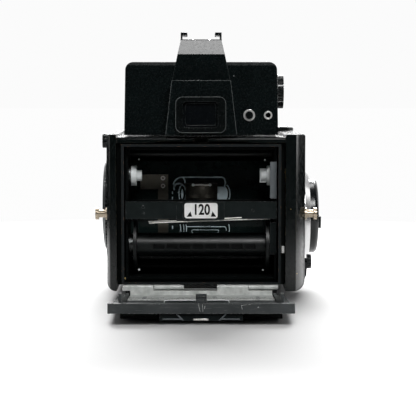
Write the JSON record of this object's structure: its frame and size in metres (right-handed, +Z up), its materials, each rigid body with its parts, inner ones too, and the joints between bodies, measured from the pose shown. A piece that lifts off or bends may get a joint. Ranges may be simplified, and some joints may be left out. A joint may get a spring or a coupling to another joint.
{
  "type": "medium format reflex camera",
  "caption": "Roll film single lens reflex camera with metering prism finder, normal lens, film insert and a hinged back standing open.",
  "frame": {"origin": "mouth of the tripod socket in the base plate's underside", "axes": "+Z up, +Y out through the lens, +X to the right for someone looking at the open back"},
  "size_m": [0.1129, 0.2208, 0.1287],
  "materials": {
    "chamber_paint": "matt black lacquer, worn to brass along the rim",
    "body_paint": "semi-matt black enamel",
    "base_metal": "semi-matt black enamel with brassed edges",
    "door_paint": "worn charcoal lacquer with bright scratches",
    "covering": "grained leather-like covering",
    "chrome": "polished",
    "curtain": "matt coated cloth",
    "black_steel": "matt black oxide",
    "mirror": "front-silvered",
    "screen_glass": "ground",
    "bare_alloy": "bare sheet with dark foam residue",
    "latch_metal": "satin dark nickel",
    "insert_plastic": "moulded black, fine texture",
    "gloss_black": "glossy black with a printed loading diagram",
    "roller_metal": "satin",
    "band_metal": "satin charcoal",
    "label_white": "printed film size label",
    "bronze": "dull phosphor bronze",
    "spool_plastic": "moulded black",
    "hub_plastic": "white nylon",
    "gear_brass": "machined",
    "control_black": "black, slightly glossy",
    "finder_plastic": "fine black crinkle",
    "prism_glass": "coated",
    "lens_black": "anodised black",
    "lens_rubber": "ribbed",
    "lens_glass": "coated"
  },
  "bodies": {
    "camera_body": {"body_frame": "chamber_paint", "left_side_cover": "body_paint", "right_side_cover": "body_paint", "top_plate": "body_paint", "base_plate": "base_metal", "front_plate": "body_paint", "lens_mount_ring": "chrome", "shutter_curtains": "curtain", "focusing_screen": "screen_glass", "hinge_leaf_body": "bare_alloy", "hinge_pin": "black_steel", "wind_base": "roller_metal", "dial_cap": "roller_metal", "strap_lugs": "chrome", "base_screws": "chrome"},
    "battery_cover": {"battery_cover": "base_metal"},
    "mirror": {"mirror_holder": "black_steel", "mirror_glass": "mirror"},
    "back_door": {"back_door": "door_paint", "door_hinge_leaf": "bare_alloy", "door_outer_panel": "covering", "latch_housing": "latch_metal", "door_latch_cover": "latch_metal"},
    "latch_slide": {"latch_slide": "chrome"},
    "film_insert": {"insert_frame": "insert_plastic", "insert_back_plate": "gloss_black", "insert_band": "band_metal", "label_plate": "label_white", "insert_springs": "bronze", "supply_studs": "roller_metal"},
    "pressure_plate": {"pressure_plate": "black_steel"},
    "upper_roller": {"upper_roller": "spool_plastic"},
    "lower_roller": {"lower_roller": "spool_plastic"},
    "film_spool": {"film_spool": "spool_plastic"},
    "take_up_hub": {"take_up_hub": "hub_plastic"},
    "take_up_idle_hub": {"take_up_idle_hub": "hub_plastic"},
    "wind_crank": {"crank_disc": "control_black", "wind_gear": "gear_brass"},
    "crank_arm": {"crank_arm": "control_black"},
    "idler_gear": {"idler_gear": "gear_brass"},
    "spool_drive_gear": {"spool_drive_gear": "gear_brass"},
    "multi_exposure_lever": {"multi_exposure_lever": "control_black"},
    "reminder_dial": {"reminder_dial": "control_black"},
    "finder_release_button": {"finder_release_button": "chrome"},
    "prism_finder": {"prism_housing": "finder_plastic", "pentaprism": "prism_glass", "eyepiece_frame": "control_black", "eyepiece_lens": "prism_glass", "hot_shoe": "latch_metal"},
    "meter_dial": {"meter_dial": "control_black"},
    "meter_button": {"meter_button": "control_black"},
    "shutter_dial": {"shutter_dial": "roller_metal"},
    "release_button": {"release_button": "chrome"},
    "self_timer_lever": {"self_timer_lever": "control_black"},
    "lens": {"lens_barrel": "lens_black", "rear_element": "lens_glass"},
    "aperture_ring": {"aperture_ring": "lens_black"},
    "focus_ring": {"focus_ring": "lens_rubber"},
    "focusing_group": {"front_barrel": "lens_black", "front_element": "lens_glass"}
  },
  "joints": [
    {"name": "door_hinge", "type": "hinge", "parent": "camera_body", "child": "back_door", "pos_m": [0, -0.055, 0.0054], "axis": [1, 0, 0], "range_deg": [-86.5, 0]},
    {"name": "latch_slide_travel", "type": "slide", "parent": "back_door", "child": "latch_slide", "axis": [1, 0, 0], "range_m": [0, 0.003]},
    {"name": "insert_slide", "type": "slide", "parent": "camera_body", "child": "film_insert", "axis": [0, -1, 0], "range_m": [0, 0.045]},
    {"name": "pressure_plate_travel", "type": "slide", "parent": "film_insert", "child": "pressure_plate", "axis": [0, -1, 0], "range_m": [0, 0.0008], "stiffness_N_per_m": 150},
    {"name": "upper_roller_spin", "type": "hinge", "parent": "film_insert", "child": "upper_roller", "pos_m": [0, -0.026, 0.0688], "axis": [1, 0, 0], "continuous": true},
    {"name": "lower_roller_spin", "type": "hinge", "parent": "film_insert", "child": "lower_roller", "pos_m": [0, -0.026, 0.0123], "axis": [1, 0, 0], "continuous": true},
    {"name": "supply_spool_spin", "type": "hinge", "parent": "film_insert", "child": "film_spool", "pos_m": [0, -0.0395, 0.0245], "axis": [1, 0, 0], "continuous": true},
    {"name": "take_up_hub_spin", "type": "hinge", "parent": "film_insert", "child": "take_up_hub", "pos_m": [0.035, -0.0395, 0.0586], "axis": [1, 0, 0], "continuous": true},
    {"name": "take_up_idle_hub_spin", "type": "hinge", "parent": "film_insert", "child": "take_up_idle_hub", "pos_m": [-0.035, -0.0395, 0.0586], "axis": [1, 0, 0], "continuous": true},
    {"name": "wind_crank_turn", "type": "hinge", "parent": "camera_body", "child": "wind_crank", "pos_m": [0.05, -0.01, 0.0362], "axis": [1, 0, 0], "continuous": true},
    {"name": "crank_arm_fold", "type": "hinge", "parent": "wind_crank", "child": "crank_arm", "pos_m": [0.0602, 0.002, 0.0341], "axis": [0, 0, 1], "range_deg": [0, 165]},
    {"name": "idler_gear_spin", "type": "hinge", "parent": "camera_body", "child": "idler_gear", "pos_m": [0.0446, -0.02218, 0.05078], "axis": [1, 0, 0], "continuous": true},
    {"name": "spool_drive_spin", "type": "hinge", "parent": "camera_body", "child": "spool_drive_gear", "pos_m": [0.0446, -0.0395, 0.0586], "axis": [1, 0, 0], "continuous": true},
    {"name": "multi_exposure_turn", "type": "hinge", "parent": "camera_body", "child": "multi_exposure_lever", "pos_m": [0.052, -0.025, 0.0086], "axis": [1, 0, 0], "range_deg": [0, 60]},
    {"name": "reminder_dial_turn", "type": "hinge", "parent": "camera_body", "child": "reminder_dial", "pos_m": [-0.047, -0.003, 0.041], "axis": [1, 0, 0], "continuous": true},
    {"name": "finder_release_press", "type": "slide", "parent": "camera_body", "child": "finder_release_button", "axis": [1, 0, 0], "range_m": [0, 0.0005], "stiffness_N_per_m": 150},
    {"name": "shutter_dial_turn", "type": "hinge", "parent": "camera_body", "child": "shutter_dial", "pos_m": [0.0396, 0.011, 0.0803], "axis": [0, 0, 1], "range_deg": [0, 300]},
    {"name": "release_press", "type": "slide", "parent": "camera_body", "child": "release_button", "axis": [0, -1, 0], "range_m": [0, 0.0018], "stiffness_N_per_m": 150},
    {"name": "self_timer_turn", "type": "hinge", "parent": "camera_body", "child": "self_timer_lever", "pos_m": [-0.0355, 0.041, 0.03], "axis": [0, 1, 0], "range_deg": [0, 90]},
    {"name": "battery_cover_turn", "type": "hinge", "parent": "camera_body", "child": "battery_cover", "pos_m": [-0.027, -0.027, 0.0015], "axis": [0, 0, 1], "range_deg": [0, 90]},
    {"name": "mirror_swing", "type": "hinge", "parent": "camera_body", "child": "mirror", "pos_m": [0, -0.012, 0.066], "axis": [1, 0, 0], "range_deg": [0, 45]},
    {"name": "finder_lift", "type": "slide", "parent": "camera_body", "child": "prism_finder", "axis": [0, 0, 1], "range_m": [0, 0.03]},
    {"name": "meter_dial_turn", "type": "hinge", "parent": "prism_finder", "child": "meter_dial", "pos_m": [0.039, -0.03, 0.0997], "axis": [1, 0, 0], "range_deg": [0, 180]},
    {"name": "meter_button_press", "type": "slide", "parent": "prism_finder", "child": "meter_button", "axis": [0, 1, 0], "range_m": [0, 0.0012], "stiffness_N_per_m": 150},
    {"name": "lens_on_body", "type": "slide", "parent": "camera_body", "child": "lens", "axis": [0, 1, 0], "range_m": [0, 0.03]},
    {"name": "aperture_ring_turn", "type": "hinge", "parent": "lens", "child": "aperture_ring", "pos_m": [0, 0.057, 0.0414], "axis": [0, 1, 0], "range_deg": [0, 60]},
    {"name": "focus_ring_turn", "type": "hinge", "parent": "lens", "child": "focus_ring", "pos_m": [0, 0.069, 0.0414], "axis": [0, 1, 0], "range_deg": [0, 200]},
    {"name": "focus_travel", "type": "slide", "parent": "lens", "child": "focusing_group", "axis": [0, 1, 0], "range_m": [0, 0.0051]}
  ],
  "couplings": [
    {"joint": "idler_gear_spin", "follows": "wind_crank_turn", "ratio": -1},
    {"joint": "spool_drive_spin", "follows": "wind_crank_turn", "ratio": 1},
    {"joint": "take_up_hub_spin", "follows": "wind_crank_turn", "ratio": 1},
    {"joint": "focus_travel", "follows": "focus_ring_turn", "m_per_rad": 0.0014324}
  ]
}
